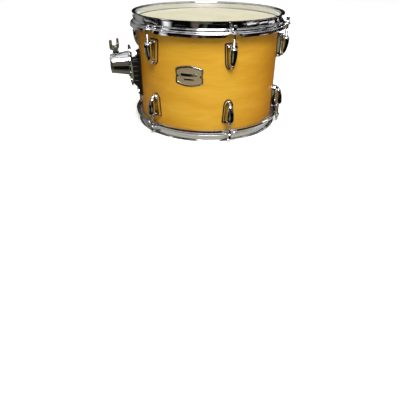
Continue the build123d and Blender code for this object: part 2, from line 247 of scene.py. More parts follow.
def lacquered_birch(tree, place):
    """Birch under amber lacquer: level grain, close in colour, a soft drifting figure and a satin coat.
    Where the shell turns away from the eye its amber is painted deeper and darker: painted shade at the
    sides."""
    figure = grain(tree, place, (110 * mm, 110 * mm, 30 * mm), 2.0, distortion=0.4)
    fibres = grain(tree, place, (46 * mm, 46 * mm, 1.6 * mm), 3.0, 0.5)
    pores = grain(tree, place, (7 * mm, 7 * mm, 0.6 * mm), 1.0)
    edge_shade_share = add_node(tree, "ShaderNodeLayerWeight", {"Blend": 0.5}).outputs["Facing"]
    ground = add_node(tree, "ShaderNodeValToRGB", {"Fac": figure}, (
        (0.30, "#D49C1F"), (0.50, "#DBA528"), (0.70, "#E1AD32")))
    streaks = add_node(tree, "ShaderNodeValToRGB", {"Fac": fibres}, ((0.30, "#E9D6AC"), (0.60, "#FFFFFF")))
    dots = add_node(tree, "ShaderNodeValToRGB", {"Fac": pores}, ((0.28, "#D2B88A"), (0.38, "#FFFFFF")))
    # painted shade: the colour turns deeper and darker towards the shell's edges as seen
    depth = add_node(tree, "ShaderNodeValToRGB", {"Fac": edge_shade_share}, ((0.10, "#FFFFFF"), (0.70, "#F1D884")))
    colour = ground
    for share, layer in ((0.29, streaks), (0.17, dots), (1.0, depth)):
        colour = add_node(tree, "ShaderNodeMix", {0: share, 6: colour, 7: layer},
                          data_type="RGBA", blend_type="MULTIPLY")
    orange_peel = grain(tree, place, 9 * mm, 1.0)
    return {
        "Base Color": colour, "Roughness": 0.5, "Specular IOR Level": 0.3,
        "Coat Weight": 0.4, "Coat Roughness": 0.2,
        "Normal": add_node(tree, "ShaderNodeBump", {"Height": orange_peel, "Distance": 0.02 * mm})}


dress(shell, finish(lacquered_birch), "shell_lacquer", "shell")

# The vent: a brass eyelet, chromed, rolled over the edge of the air hole.
vent_flange_r = 8.5 * mm
vent_flange = 1.2 * mm


def chrome_plate(tree, place):
    """Bright chrome plate: a mirror with a faint haze of handling and polishing marks."""
    haze = grain(tree, place, 14 * mm)
    polish = grain(tree, place, 3 * mm, 2.0)
    return {
        "Base Color": linear("#ECECEE"), "Metallic": 1.0,
        "Roughness": add_node(tree, "ShaderNodeMapRange", {
            "Value": haze, "From Min": 0.35, "From Max": 0.7, "To Min": 0.03, "To Max": 0.13}),
        "Normal": add_node(tree, "ShaderNodeBump", {"Height": polish, "Distance": 0.004 * mm})}


chrome = finish(chrome_plate)
vent_tail = -shell_wall - 1 * mm
vent_outline = soften([
    (vent_r - 0.8 * mm, vent_tail), (vent_r - 0.8 * mm, vent_flange), (vent_flange_r - 1 * mm, vent_flange),
    (vent_flange_r, 0.2 * mm), (vent_flange_r, -0.3 * mm), (vent_r, -0.3 * mm), (vent_r, vent_tail)],
    0.7 * mm)
vent = turned("vent_eyelet", vent_outline, 64, vent_stand @ along_x(shell_r))
dress(vent, chrome, "chrome")

# The drumheads: polyester film coated cream inside a clear border, tucked over the bearing edge
# into an aluminium flesh hoop that rides outside the shell.
film_low, film_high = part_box("batter_film")
film = 0.3 * mm
head_tuck = film_high.z - film_low.z - film
film_bend_r = shell_r - edge_crest_inset + film
coat_r = 146 * mm


def coated_film(tree, place):
    """Polyester drumhead film with a sprayed, slightly gritty cream coat and a bare milky border."""
    level = add_node(tree, "ShaderNodeSeparateXYZ", {"Vector": place}).outputs
    flat = add_node(tree, "ShaderNodeCombineXYZ", {"X": level["X"], "Y": level["Y"]})
    radius = add_node(tree, "ShaderNodeVectorMath", {0: flat}, operation="LENGTH")
    wear = grain(tree, place, 48 * mm)
    spray = grain(tree, place, 0.9 * mm, 2.0)
    coat = add_node(tree, "ShaderNodeValToRGB", {"Fac": wear}, (
        (0.30, "#D3CAAD"), (0.55, "#D9D1B6"), (0.75, "#DFD8C0")))
    border = add_node(tree, "ShaderNodeMapRange", {
        "Value": radius, "From Min": coat_r - 0.4 * mm, "From Max": coat_r + 0.4 * mm})
    line = add_node(tree, "ShaderNodeMath", {0: radius, 1: coat_r, 2: 0.9 * mm}, operation="COMPARE")
    colour = add_node(tree, "ShaderNodeMix", {0: border, 6: coat, 7: linear("#E9E6D8")}, data_type="RGBA")
    colour = add_node(tree, "ShaderNodeMix", {0: line, 6: colour, 7: linear("#CBC5AC")}, data_type="RGBA")
    return {
        "Base Color": colour, "Roughness": 0.55, "Subsurface Weight": 0.15, "Subsurface Scale": 2 * mm,
        "Normal": add_node(tree, "ShaderNodeBump", {"Height": spray, "Distance": 0.03 * mm})}


def mill_aluminium(tree, place):
    """Rolled aluminium as it leaves the mill: soft grey with fine marks along the roll."""
    marks = grain(tree, place, (12 * mm, 12 * mm, 0.3 * mm), 2.0)
    return {
        "Base Color": add_node(tree, "ShaderNodeValToRGB", {"Fac": marks}, (
            (0.3, "#B0B0AE"), (0.7, "#D2D1CC"))),
        "Metallic": 1.0, "Roughness": 0.38,
        "Normal": add_node(tree, "ShaderNodeBump", {"Height": marks, "Distance": 0.01 * mm})}


film_coat = finish(coated_film)
flesh_metal = finish(mill_aluminium)
ends = {
    "batter": at(0, 0, shell_high.z),
    "resonant": at(0, 0, shell_low.z) @ Matrix.Rotation(pi, 4, "X"),
}
flesh_low, flesh_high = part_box("batter_flesh_hoop")
flesh_outer_r = flesh_high.x
flesh_inner_r = film_high.x
flesh_top_h = flesh_high.z - shell_high.z
flesh_low_h = flesh_low.z - shell_high.z


def rectangle(left, right, low, high, corner, steps=4):
    """A rectangle's outline with rounded corners."""
    return soften([(left, low), (right, low), (right, high), (left, high)], corner, steps)


head_top = soften([
    (0, film), (film_bend_r - 3 * mm, film), (film_bend_r + 0.2 * mm, film),
    (flesh_inner_r, film * 1.6 - head_tuck)], 1.2 * mm, closed=False)
head_outline = [(0, 0), (film_bend_r - 0.3 * mm, 0), (flesh_inner_r - 0.35 * mm, -head_tuck)] + head_top[::-1]
channel = rectangle(flesh_inner_r, flesh_outer_r, flesh_low_h, flesh_top_h, 1.2 * mm)
for end, place in ends.items():
    head = turned(f"{end}_head_film", head_outline, 192, place, closed=False)
    dress(head, film_coat, "head_film", f"{end}_film")
    flesh_hoop = turned(f"{end}_flesh_channel", channel, 192, place)
    dress(flesh_hoop, flesh_metal, "flesh_hoop", f"{end}_flesh_hoop")

# The counter hoops: steel sheet pressed with three flanges and chromed. The lower flange sweeps
# up in an arch to an ear at each rod, and each ear is punched for it.
hoop_low, hoop_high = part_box("batter_hoop")
sheet = 1.6 * mm
rim_h = hoop_high.z - shell_high.z
lip_r = 160.9 * mm
wall_r = flesh_inner_r + 0.7 * mm + sheet / 2
skirt_r = flesh_outer_r + 0.4 * mm + sheet / 2
ledge_h = flesh_top_h + sheet / 2
flange_h = hoop_low.z - shell_high.z + sheet / 2
flange_r = 166.6 * mm - sheet / 2
shoulder_h = -4.2 * mm
knee_flange_h = -6.4 * mm
rod_low, rod_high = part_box("batter_rod_5")
rod_circle_r = (rod_low.x + rod_high.x) / 2
rod_r = 2.75 * mm
ear_top_h = -3.8 * mm
ear_h = ear_top_h - sheet / 2
ear_tip_r = 6 * mm
ear_half_flat = 7 * mm
ear_half_width = 18 * mm
ear_hole_r = 3.3 * mm
punch_low_h, punch_high_h = -20 * mm, 5 * mm
ear_steps, gap_steps = 20, 16
lug_angles = [60 * (i + 0.5) - 180 for i in range(6)]


def smooth(share):
    """An S-curve from 0 to 1."""
    share = min(max(share, 0.0), 1.0)
    return share * share * (3 - 2 * share)


def ear_edge(tangent):
    """How far out the flange reaches at a distance beside a rod: the ear's tip, then its flare."""
    beside = abs(tangent)
    plain = sqrt(flange_r**2 - beside**2)
    tip = rod_circle_r + sqrt(max(ear_tip_r**2 - beside**2, 0))
    near = smooth((ear_half_width - beside) / ear_half_width)
    flare = plain + (rod_circle_r + 0.5 * ear_tip_r - plain) * near**2
    return max(plain, flare, tip if beside < ear_tip_r else 0)


def skin(shape, rows):
    """Faces between neighbouring rows of points, and from the last row on to the first."""
    for here, there in zip(rows, rows[1:] + rows[:1]):
        for k in range(len(here) - 1):
            shape.faces.new((here[k], there[k], there[k + 1], here[k + 1]))


def pressed_hoop(name, place):
    """The sheet's middle line swept round the drum, then thickened and its edges eased."""
    columns = []
    ear_turn = asin(ear_half_width / flange_r)
    gap = radians(60) - 2 * ear_turn
    for middle in (radians(angle - 90) for angle in lug_angles):
        for k in range(-ear_steps, ear_steps + 1):
            tangent = ear_half_width * sin(k / ear_steps * pi / 2)
            lift = smooth((ear_half_width - abs(tangent)) / (ear_half_width - ear_half_flat))
            reach = ear_edge(tangent)
            columns.append((middle + atan2(tangent, reach), hypot(tangent, reach), lift))
        columns += [(middle + ear_turn + gap * k / gap_steps, flange_r, 0.0) for k in range(1, gap_steps)]
    shape = bmesh.new()
    grid = []
    for turn, reach, lift in columns:
        knee_h = knee_flange_h + (ear_h - knee_flange_h) * lift
        low = flange_h + (ear_h - 1 * mm - flange_h) * lift
        section = soften([
            (lip_r, rim_h - sheet / 2), (wall_r, rim_h - sheet / 2), (wall_r, ledge_h), (skirt_r, ledge_h),
            (skirt_r, shoulder_h), (reach - 1.2 * mm, knee_h), (reach, low)], 1.8 * mm, 5, closed=False)
        grid.append([shape.verts.new(polar(radius, turn, height)) for radius, height in section])
    skin(shape, grid)
    bmesh.ops.recalc_face_normals(shape, faces=shape.faces)
    hoop = placed(name, smoothed(meshed(name, shape), 60))
    thicken = hoop.modifiers.new("sheet", "SOLIDIFY")
    thicken.thickness, thicken.offset, thicken.use_even_offset = sheet, 0, True
    baked(hoop)
    ease = hoop.modifiers.new("edge", "BEVEL")
    ease.width, ease.segments, ease.limit_method, ease.angle_limit = 0.5 * mm, 3, "ANGLE", radians(50)
    baked(hoop)
    hoop.data.transform(place)
    smoothed(hoop.data, 50)
    return hoop


for end, place in ends.items():
    hoop = pressed_hoop(f"{end}_counter_hoop", place)
    drilled(hoop, *[
        drill(ear_hole_r, punch_low_h, punch_high_h, 24, place @ outward(angle) @ at(rod_circle_r))
        for angle in lug_angles])
    dress(hoop, chrome, "chrome", f"{end}_hoop")

# The tension rods: chromed steel with a square key head on a round collar, turned down to a shank
# whose lower part is threaded. A thick washer lies between each collar and its ear.
head_half = 3.175 * mm
head_top_h = rod_high.z - shell_high.z
washer_top_h = -1.4 * mm
washer_r = 5.2 * mm
shank_low_h = rod_low.z - shell_high.z
thread_top_h = -14 * mm
thread_pitch = 1.06 * mm
thread_depth = 0.24 * mm


def square(half, corner):
    """The radius of a square with rounded corners as a function of the angle."""
    return lambda angle: min(half / max(abs(cos(angle)), abs(sin(angle))), half * sqrt(2) - corner)


def rod_outline():
    """From the tip up: threads, plain shank, collar, square head."""
    outline = [(0, shank_low_h), (rod_r - 0.7 * mm, shank_low_h)]
    for k in range(int((thread_top_h - shank_low_h) / thread_pitch)):
        low = shank_low_h + thread_pitch * (k + 0.4)
        outline += [(rod_r, low), (rod_r - thread_depth, low + thread_pitch / 2)]
    neck_h = washer_top_h + 1.2 * mm
    face = square(head_half, 0.5 * mm)
    return outline + [
        (rod_r, thread_top_h), (rod_r, washer_top_h - 0.2 * mm),
        (washer_r - 1 * mm, washer_top_h), (washer_r - 0.6 * mm, washer_top_h + 0.3 * mm),
        (washer_r - 0.6 * mm, neck_h - 0.3 * mm), (washer_r - 1 * mm, neck_h),
        (square(head_half - 0.15 * mm, 0.5 * mm), neck_h),
        (face, neck_h + 0.3 * mm), (face, head_top_h - 0.9 * mm),
        (square(head_half - 0.35 * mm, 0.7 * mm), head_top_h - 0.3 * mm),
        (square(head_half - 0.9 * mm, 1 * mm), head_top_h), (0, head_top_h)]


def rod_number(end, stand):
    """Which of the end's rods stands at a place."""
    def apart(n):
        low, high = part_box(f"{end}_rod_{n}")
        return ((low + high) / 2 - stand.to_translation()).xy.length
    return min(range(1, 7), key=apart)


def moved(piece, place):
    """The piece with its mesh carried to its place."""
    piece.data.transform(place)
    return piece


def ring_of_pieces(name, original, place, material):
    """Six copies of a piece round one end of the drum, made by a node tree."""
    tree = bpy.data.node_groups.new(f"{name}_ring", "GeometryNodeTree")
    tree.interface.new_socket("Geometry", in_out="OUTPUT", socket_type="NodeSocketGeometry")
    first = tree.interface.new_socket("First angle", in_out="INPUT", socket_type="NodeSocketFloat")
    count = tree.interface.new_socket("Count", in_out="INPUT", socket_type="NodeSocketInt")
    given = add_node(tree, "NodeGroupInput", {}).outputs
    points = add_node(tree, "GeometryNodeMeshLine", {"Count": given["Count"], "Offset": (0, 0, 0)})
    index = add_node(tree, "GeometryNodeInputIndex", {})
    step = add_node(tree, "ShaderNodeMath", {0: 2 * pi, 1: given["Count"]}, operation="DIVIDE")
    turn = add_node(tree, "ShaderNodeMath", {0: index, 1: step, 2: given["First angle"]},
                    operation="MULTIPLY_ADD")
    spin = add_node(tree, "ShaderNodeCombineXYZ", {"Z": turn})
    source = add_node(tree, "GeometryNodeObjectInfo", {"Object": original}).outputs["Geometry"]
    copies = add_node(tree, "GeometryNodeInstanceOnPoints", {
        "Points": points, "Instance": source, "Rotation": spin})
    real = add_node(tree, "GeometryNodeRealizeInstances", {"Geometry": copies})
    dressed = add_node(tree, "GeometryNodeSetMaterial", {"Geometry": real, "Material": material})
    add_node(tree, "NodeGroupOutput", {"Geometry": dressed})
    ring = placed(name, bpy.data.meshes.new(name))
    spread = ring.modifiers.new("ring", "NODES")
    spread.node_group = tree
    spread[first.identifier] = radians(lug_angles[0] - 90)
    spread[count.identifier] = len(lug_angles)
    return moved(baked(ring), place)


washer_outline = rectangle(rod_r + 0.3 * mm, washer_r, ear_top_h, washer_top_h - 0.05 * mm, 0.5 * mm)
washer = turned("washer", washer_outline, 40, at(rod_circle_r))
for end, place in ends.items():
    dress(ring_of_pieces(f"{end}_rod_washers", washer, place, chrome), chrome, "chrome")
    for angle in lug_angles:
        stand = place @ outward(angle) @ at(rod_circle_r)
        number = rod_number(end, stand)
        rod = turned(f"{end}_key_rod_{number}", rod_outline(), 48, stand, closed=False)
        dress(rod, chrome, "chrome", f"{end}_rod_{number}", body=f"{end}_rod_{number}")
bpy.data.objects.remove(washer)

# The lugs: die-cast zinc, chromed. An open loop stands on the shell over a black gasket, whose rim round
# the loop is also painted contact shadow, and a bar across it carries the bored bullet that takes the rod;
# a tongue closes the bullet's far end.
lug_low, lug_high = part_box("batter_lugs")
lug_top_h = lug_high.z - shell_high.z
lug_low_h = lug_low.z - shell_high.z
lug_half_top, lug_half_foot = 11.5 * mm, 8.8 * mm
lug_foot_rise = 12 * mm
lug_waist_h = lug_low_h + lug_foot_rise
lug_front_r = shell_r + 8 * mm
loop_wall = 3.2 * mm
bar_height = 5.6 * mm
# how far the gasket's black rim, painted contact shadow as well as rubber, stands out round the loop
gasket_shadow_rim = 1.4 * mm
gasket_front_r = shell_r + 0.9 * mm
bullet_top_h = lug_top_h - 3.6 * mm
bullet_length = 37.5 * mm
bullet_r = 7.6 * mm
bullet_dome = 4.5 * mm
bullet_lean = 3.2 * mm
tongue_half = 2.4 * mm
nut_r = 4 * mm
strip_width = 4 * mm


def cast(name, loops, depth, rounding, steps=2):
    """A flat piece with rounded edges: closed (right, up) loops, the first one the outline, pushed
    along +X by its depth from the plane x = 0."""
    curve = bpy.data.curves.new(name, "CURVE")
    curve.dimensions, curve.fill_mode = "2D", "BOTH"
    curve.extrude = depth / 2 - rounding
    curve.bevel_depth, curve.bevel_resolution, curve.offset = rounding, steps, -rounding
    for loop in loops:
        spline = curve.splines.new("POLY")
        spline.points.add(len(loop) - 1)
        for point, (across, height) in zip(spline.points, loop):
            point.co = (across, height, 0, 1)
        spline.use_cyclic_u = True
    flat = placed(name, curve)
    mesh = outcome(flat)
    bpy.data.objects.remove(flat)
    mesh.transform(Matrix(((0, 0, 1, depth / 2), (1, 0, 0, 0), (0, 1, 0, 0), (0, 0, 0, 1))))
    mesh.materials.clear()
    return placed(name, smoothed(mesh, 40))


def side_profile(name, outline, half_width, rounding, steps=3):
    """A piece drawn from the side as (radius, height) points and centred on the radial plane."""
    piece = cast(name, [outline], 2 * half_width, rounding, steps)
    moved(piece, Matrix(((0, 1, 0, 0), (1, 0, 0, -half_width), (0, 0, 1, 0), (0, 0, 0, 1))))
    piece.data.flip_normals()
    return piece


def wrapped(piece, radius, height=0):
    """Carries a flat piece out to a radius and bends it round the drum, cut into strips first."""
    moved(piece, at(radius, 0, height))
    shape = bmesh.new()
    shape.from_mesh(piece.data)
    strips = int(max(abs(vertex.co.y) for vertex in shape.verts) / strip_width)
    for k in range(-strips, strips + 1):
        bmesh.ops.bisect_plane(
            shape, geom=shape.verts[:] + shape.edges[:] + shape.faces[:],
            plane_co=(0, k * strip_width, 0), plane_no=(0, 1, 0))
    for vertex in shape.verts:
        vertex.co.x += sqrt(radius**2 - vertex.co.y**2) - radius
    shape.to_mesh(piece.data)
    shape.free()
    return piece


def joined(name, *parts):
    """Several meshes as one piece."""
    with bpy.context.temp_override(active_object=parts[0], selected_editable_objects=list(parts)):
        bpy.ops.object.join()
    parts[0].name = name
    return parts[0]


def arc(centre, radius_across, radius_up, start, end, steps):
    """Points round part of an ellipse, angles in degrees from the right, anticlockwise."""
    turns = [radians(start + (end - start) * k / steps) for k in range(steps + 1)]
    return [(centre[0] + radius_across * cos(turn), centre[1] + radius_up * sin(turn)) for turn in turns]


def lug_loop(grow):
    """The loop's outline: rounded shoulders at the rod's end, a round foot."""
    half_top, half_foot = lug_half_top + grow, lug_half_foot + grow
    foot = arc((0, lug_waist_h), half_foot, lug_foot_rise + grow, 0, -180, 18)
    shoulders = soften([
        (-half_foot, lug_waist_h), (-half_top, lug_top_h + grow), (half_top, lug_top_h + grow),
        (half_foot, lug_waist_h)], 4.2 * mm, 6, closed=False)
    return foot[:-1] + shoulders[:-1]


def bullet_outline():
    """From the mouth down: a domed shoulder, then a long taper to the tip."""
    outline = [(0, 0), (nut_r, 0), (nut_r + 0.4 * mm, -0.4 * mm)]
    outline += arc((0, -bullet_dome), bullet_r, bullet_dome, 50, 0, 5)
    for k in range(1, 12):
        share = k / 12
        outline.append((
            bullet_r * sqrt(1 - share**2.6), -bullet_dome - (bullet_length - bullet_dome) * share))
    return outline + [(0, -bullet_length)]


def lug_casting():
    """One lug in its place on the batter end, built along +X."""
    half, shelf = lug_half_foot - loop_wall, lug_half_top - loop_wall
    window = soften([
        (-shelf, lug_top_h - bar_height), (shelf, lug_top_h - bar_height),
        (half, lug_waist_h), (0.55 * half, lug_low_h + 1.8 * loop_wall),
        (-0.55 * half, lug_low_h + 1.8 * loop_wall), (-half, lug_waist_h)], 3.5 * mm, 5)
    loop = wrapped(cast("lug_loop", [lug_loop(0), window], lug_front_r - shell_r, 1.4 * mm, 4), shell_r)
    bullet = turned("bullet", bullet_outline(), 48, closed=False)
    for vertex in bullet.data.vertices:
        vertex.co.x -= bullet_lean * max(-vertex.co.z / bullet_length, 0)**2
    moved(bullet, at(rod_circle_r, 0, bullet_top_h))
    neck_low_h, neck_back_r = lug_top_h - 14 * mm, shell_r + 1 * mm
    neck = moved(cast("neck", [soften([
        (-5.2 * mm, lug_top_h), (5.2 * mm, lug_top_h), (4.2 * mm, neck_low_h), (-4.2 * mm, neck_low_h)],
        1.5 * mm)], rod_circle_r - 4.4 * mm - neck_back_r, 0.8 * mm), at(neck_back_r))
    tip_h = bullet_top_h - bullet_length
    tongue = side_profile("tongue", soften([
        (shell_r + 3 * mm, lug_low_h + 1 * mm), (lug_front_r - 1 * mm, lug_low_h + 0.4 * mm),
        (rod_circle_r - 1 * mm, tip_h + 0.6 * mm), (rod_circle_r - 0.5 * mm, tip_h + 5 * mm),
        (shell_r + 3 * mm, lug_low_h + 7 * mm)], 1.8 * mm), tongue_half, 1.6 * mm, 4)
    return joined("lug_casting", loop, bullet, neck, tongue)


def moulded_rubber(tree, place):
    """Black moulded rubber: matt and slightly mottled."""
    mottle = grain(tree, place, 4 * mm)
    fine = grain(tree, place, 0.6 * mm, 2.0)
    return {
        "Base Color": add_node(tree, "ShaderNodeValToRGB", {"Fac": mottle}, (
            (0.3, "#0E0E0E"), (0.7, "#1D1D1C"))),
        "Roughness": 0.6, "Normal": add_node(tree, "ShaderNodeBump", {"Height": fine, "Distance": 0.02 * mm})}


def black_steel(tree, place):
    """Steel blackened in oil: dark and dull, a little brown where it is handled."""
    wear = grain(tree, place, 5 * mm)
    return {
        "Base Color": add_node(tree, "ShaderNodeValToRGB", {"Fac": wear}, (
            (0.35, "#171717"), (0.75, "#2E2A27"))),
        "Metallic": 0.8, "Roughness": 0.38}


rubber = finish(moulded_rubber)
blackened = finish(black_steel)
lug = lug_casting()
nut = turned("swivel_nut", [
    (rod_r + 0.15 * mm, -2 * mm), (nut_r, -2 * mm), (nut_r, 0.3 * mm), (nut_r - 0.4 * mm, 0.7 * mm),
    (rod_r + 0.15 * mm, 0.7 * mm)], 36, at(rod_circle_r, 0, bullet_top_h))
hollow = [(across * 0.80, lug_low_h + 4 * mm + (h - lug_low_h) * 0.80) for across, h in lug_loop(0)]
# black rubber gasket; its rim beyond the loop is also painted contact shadow round the lug
gasket = wrapped(cast("gasket", [lug_loop(gasket_shadow_rim), hollow], gasket_front_r - shell_r, 0.3 * mm), shell_r)
for end, place in ends.items():
    castings = ring_of_pieces(f"{end}_lug_castings", lug, place, chrome)
    dress(castings, chrome, "chrome", f"{end}_lugs")
    dress(ring_of_pieces(f"{end}_swivel_nuts", nut, place, blackened), blackened, "bolt_steel")
    dress(ring_of_pieces(f"{end}_lug_gaskets", gasket, place, rubber), rubber, "pad_rubber")
for original in (lug, nut, gasket):
    bpy.data.objects.remove(original)

# The badge: a plain pressed plate on a black backing, whose rim round the plate is also painted shadow.
# A bright border stands round a satin field with two blank bars, and a pin holds it at either side.
badge_low, badge_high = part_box("badge")
badge_half = badge_high.x
badge_peak = (badge_high.z - badge_low.z) / 2
badge_side = 13.5 * mm
badge_waist = 1.3 * mm
badge_z = (badge_low.z + badge_high.z) / 2
pin_inset = 4.6 * mm


def badge_loop(inset):
    """The badge's outline, drawn in by a margin: arched above and below, waisted at the sides."""
    half, side, peak = badge_half - inset, badge_side - inset, badge_peak - inset
    arch = [(half * k / 6, side + (peak - side) * (1 - (k / 6)**2)) for k in range(-6, 7)]
    near = half - 0.2 * badge_waist
    over = arch + [(near, 0.35 * side), (half - badge_waist, 0), (near, -0.35 * side)]
    return soften(over + [(-across, -height) for across, height in over], 3.2 * mm, 5)


def on_badge(name, loops, depth, rounding, steps=2):
    """A flat piece of the badge, bent to the shell."""
    return wrapped(cast(name, loops, depth, rounding, steps), shell_r, badge_z)


def satin_nickel_amber_reflection(tree, place):
    """Nickel brushed level to a satin, its warm tan a painted reflection of amber."""
    brushing = grain(tree, place, (9 * mm, 9 * mm, 0.25 * mm), 2.0)
    return {
        # painted reflection: the tan ramp stands in for amber reflected in the grey satin field
        "Base Color": add_node(tree, "ShaderNodeValToRGB", {"Fac": brushing}, (
            (0.3, "#AC9775"), (0.7, "#D1BC96"))),
        "Metallic": 0.55, "Roughness": 0.4,
        "Normal": add_node(tree, "ShaderNodeBump", {"Height": brushing, "Distance": 0.015 * mm})}


satin_with_amber_reflection = finish(satin_nickel_amber_reflection)
facing_badge = outward(0)
# black backing; the rim it shows round the plate is also painted shadow
shadow_backing = on_badge("badge_backing", [badge_loop(-0.7 * mm)], 0.8 * mm, 0.3 * mm)
dress(moved(shadow_backing, facing_badge), rubber, "pad_rubber")
border = on_badge("badge_border", [badge_loop(0), badge_loop(2.6 * mm)], 2 * mm, 0.6 * mm, 3)
bars = [
    on_badge("badge_bar", [rectangle(-half, half, low, high, 1.2 * mm)], 1.7 * mm, 0.4 * mm)
    for half, low, high in ((16.5 * mm, -0.1 * mm, 5.3 * mm), (10.5 * mm, -7.7 * mm, -4.3 * mm))]
plate = moved(joined("badge_border", border, *bars), facing_badge)
dress(plate, chrome, "chrome")
pin_outline = [(0, 2.6 * mm), (1 * mm, 2.4 * mm), (1.6 * mm, 1.8 * mm), (1.7 * mm, 0.6 * mm)]
pin_turn = asin((badge_half - pin_inset) / shell_r)
pins = [
    turned("badge_pin", pin_outline, 24, Matrix.Rotation(side * pin_turn, 4, "Z")
           @ at(0, 0, badge_z) @ along_x(shell_r), closed=False) for side in (-1, 1)]
dress(moved(joined("badge_pins", *pins), facing_badge), blackened, "bolt_steel")
field = on_badge("badge_field", [badge_loop(1.6 * mm)], 1.1 * mm, 0.2 * mm)
dress(moved(field, facing_badge), satin_with_amber_reflection, "badge_metal", "badge")

# The mount's footing: a rubber pad on the shell and a black moulded base over it, deep behind the
# plate and ribbed down its sides, held by two bolts through the shell.
mount_angle = -62
mount_z = 131 * mm
pad_low, pad_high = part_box("mount_pad")
pad_r = shell_r + 3 * mm
block_back_r = pad_r + 1 * mm
foot_r = pad_r + 3.6 * mm
plate_back_r = shell_r + 18 * mm
plate_front_r = plate_back_r + 4 * mm
base_low, base_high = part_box("mount_base")
plate_low, plate_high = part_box("mount_plate")
shelf_low, shelf_high = mount_z - 42 * mm, mount_z + 9 * mm
rib_height = 2.6 * mm
on_mount = outward(mount_angle)


def moulded_black(tree, place):
    """Glass-filled black nylon: a low sheen over a fine spark-eroded grain."""
    fine = grain(tree, place, 0.5 * mm, 2.0)
    return {
        "Base Color": linear("#111112"), "Roughness": 0.32,
        "Normal": add_node(tree, "ShaderNodeBump", {"Height": fine, "Distance": 0.02 * mm})}


black_nylon = finish(moulded_black)
pad_outline = rectangle(-16.5 * mm, 16.5 * mm, pad_low.z, pad_high.z, 9.9 * mm, 8)
pad = wrapped(cast("mount_rubber_pad", [pad_outline], pad_r - shell_r, 0.7 * mm, 3), shell_r)
dress(moved(pad, on_mount), rubber, "pad_rubber", "mount_pad")
foot_outline = rectangle(-15 * mm, 15 * mm, base_low.z, base_high.z, 9 * mm, 8)
foot = wrapped(cast("mount_foot", [foot_outline], foot_r - pad_r, 1.2 * mm, 3), pad_r)
block = side_profile("mount_block", soften([
    (block_back_r, mount_z - 53 * mm), (foot_r, mount_z - 53 * mm), (plate_back_r, shelf_low),
    (plate_back_r, shelf_high), (foot_r + 2 * mm, shelf_high + 1.5 * mm),
    (block_back_r, shelf_high + 1.5 * mm)], 2.5 * mm), 13.2 * mm, 1.6 * mm)
ribs = []
for low in (mount_z + step * mm for step in (-37, -27, -17, -7, 3)):
    rib_outline = rectangle(block_back_r, plate_back_r - 0.6 * mm, low, low + rib_height, 0.8 * mm)
    ribs.append(side_profile("mount_rib", rib_outline, 14.8 * mm, 0.8 * mm, 2))
base = moved(joined("mount_footing", foot, block, *ribs), on_mount)
dress(base, black_nylon, "mount_black", "mount_base")


def hexagon(flat):
    """The radius of a hexagon as a function of the angle, given across its flats."""
    return lambda angle: flat / 2 / cos((angle + pi / 6) % (pi / 3) - pi / 6)


bolt_inset = 9 * mm
bolt_flat = 10 * mm
bolt_r = 2.95 * mm
flange_rim = 7.2 * mm
square_half = 9 * mm
inside = shell_r - shell_wall - 2 * mm
bolt_head = [
    (0, foot_r + 2.6 * mm), (3.9 * mm, foot_r + 2.6 * mm), (hexagon(bolt_flat - 0.2 * mm), foot_r + 2 * mm),
    (hexagon(bolt_flat), foot_r + 0.9 * mm), (hexagon(bolt_flat), foot_r + 0.8 * mm),
    (flange_rim - 0.2 * mm, foot_r + 0.8 * mm), (flange_rim, foot_r + 0.5 * mm),
    (flange_rim, foot_r - 0.2 * mm), (bolt_r, foot_r - 0.2 * mm), (bolt_r, inside - 5.5 * mm),
    (0, inside - 5.5 * mm)]
bolt_nut = [
    (3 * mm, inside), (hexagon(bolt_flat), inside), (hexagon(bolt_flat), inside - 3.4 * mm),
    (hexagon(bolt_flat - 0.6 * mm), inside - 4 * mm), (3 * mm, inside - 4 * mm)]
bolt_pieces = []
for height in (pad_high.z - bolt_inset, pad_low.z + bolt_inset):
    axis = at(0, 0, height) @ along_x(0)
    bolt_pieces.append(turned("mount_bolt", bolt_head, 48, axis, closed=False))
    bolt_pieces.append(turned("mount_nut", bolt_nut, 48, axis))
    square_outline = rectangle(
        -square_half, square_half, height - square_half, height + square_half, 1.5 * mm, 8)
    bolt_pieces.append(moved(cast("mount_square", [square_outline], 1.6 * mm, 0.4 * mm), at(inside)))
bolts = moved(joined("mount_bolts_plated", *bolt_pieces), on_mount)
dress(bolts, chrome, "bolt_steel", "mount_bolts")

# The mount's plate and barrel: die-cast and chromed, the barrel standing on the plate with a bead
# round its root and a hexagonal mouth lined with a plastic bush.
barrel_end_x = plate_front_r + 40.5 * mm
bore_end_x = barrel_end_x - 37 * mm
wing_x = barrel_end_x - 13.4 * mm
socket_flat = 16.5 * mm
bush_flat = socket_flat + 2 * 1.8 * mm
boss_r = 7.4 * mm
bead_r = 25.2 * mm
barrel_root_r, barrel_mouth_r = 24.5 * mm, 18.5 * mm
plate_outline = rectangle(-25 * mm, 25 * mm, plate_low.z, plate_high.z, 9 * mm, 8)
plate_piece = cast("mount_face_plate", [plate_outline], plate_front_r - plate_back_r, 0.35 * mm, 3)
moved(plate_piece, at(plate_back_r))
screw = [
    (0, 1.3 * mm), (hexagon(3 * mm), 1.3 * mm), (hexagon(3 * mm), 2.4 * mm), (2.2 * mm, 2.5 * mm),
    (2.9 * mm, 2 * mm), (3.3 * mm, 1.2 * mm), (3.4 * mm, 0.4 * mm), (3.4 * mm, -0.4 * mm)]
screws = [
    turned("mount_screw", screw, 36, at(0, across, height) @ along_x(plate_front_r), closed=False)
    for across in (-19.5 * mm, 19.5 * mm) for height in (plate_low.z + 12.5 * mm, plate_high.z - 12.5 * mm)]
face = moved(joined("mount_face_plate", plate_piece, *screws), on_mount)
dress(face, chrome, "chrome", "mount_plate")


def taper(x):
    """The barrel's radius at a distance from the drum's axis."""
    start = plate_front_r + 2.4 * mm
    return barrel_root_r + (barrel_mouth_r - barrel_root_r) * (x - start) / (barrel_end_x - start)


